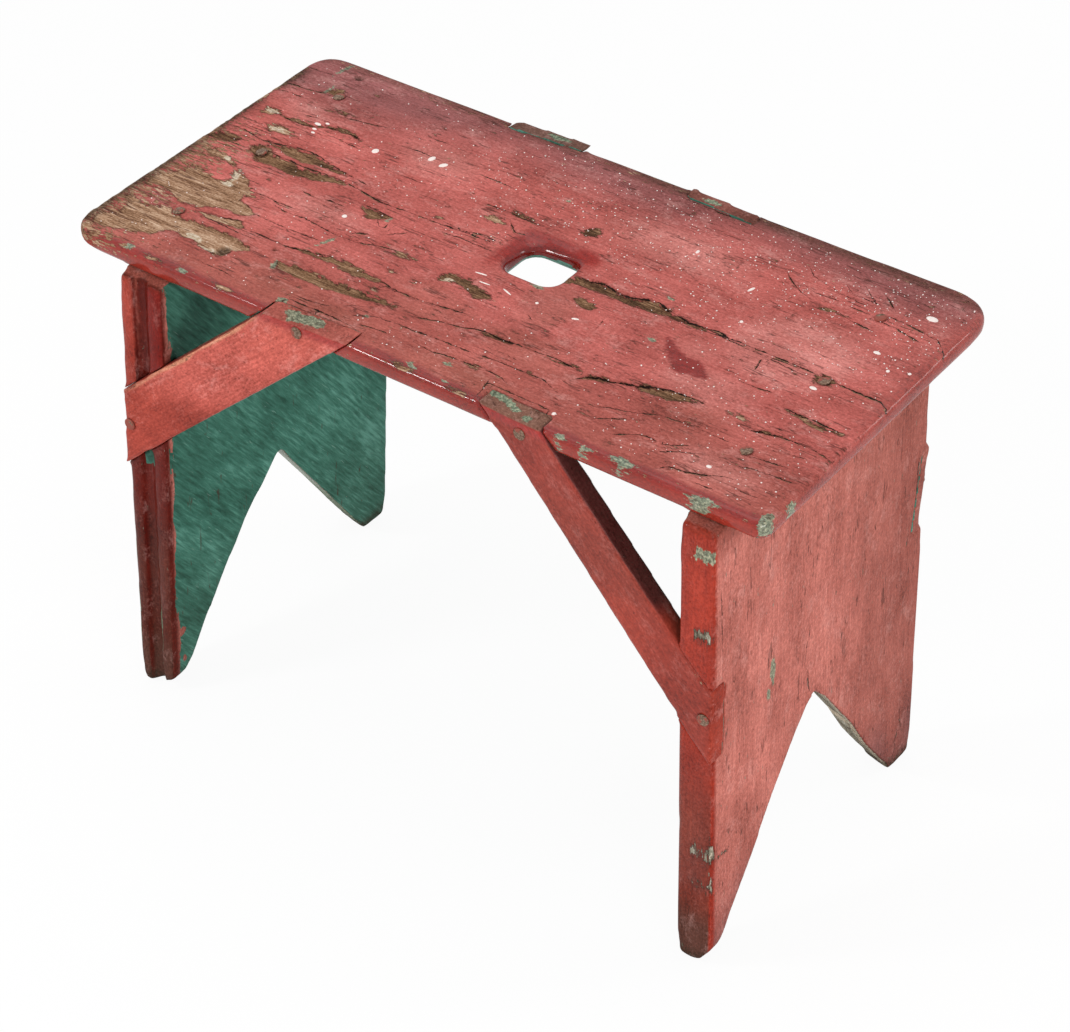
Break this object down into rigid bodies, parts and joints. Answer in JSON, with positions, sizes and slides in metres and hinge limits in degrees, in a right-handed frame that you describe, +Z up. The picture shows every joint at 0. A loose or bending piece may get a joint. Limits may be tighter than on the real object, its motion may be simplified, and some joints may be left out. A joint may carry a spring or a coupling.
{
  "type": "bucket bench",
  "caption": "Low nailed board bench with a hand hole in its seat, V-cut end boards and diagonal braces let into its edges; carries buckets or a sitter.",
  "frame": {"origin": "on the floor under the middle of the bench", "axes": "+X along the seat to its right end, +Y from the front edge to the back edge, +Z up"},
  "size_m": [0.5309, 0.2846, 0.3614],
  "materials": {
    "seat_paint": "worn red paint over bare wood and older green paint, satin",
    "end_board_paint": "worn red paint, faded to pink on the outer faces, older green paint inside, satin",
    "brace_paint": "glossy red paint with runs and chips",
    "nail_steel": "rusted steel wire nails, partly painted over"
  },
  "bodies": {
    "root": {"seat_board": "seat_paint", "left_end_board": "end_board_paint", "right_end_board": "end_board_paint", "front_left_brace": "brace_paint", "front_right_brace": "brace_paint", "back_left_brace": "brace_paint", "back_right_brace": "brace_paint", "left_seat_nails": "nail_steel", "right_seat_nails": "nail_steel", "front_left_brace_nails": "nail_steel", "front_right_brace_nails": "nail_steel", "back_left_brace_nails": "nail_steel", "back_right_brace_nails": "nail_steel"}
  },
  "joints": []
}
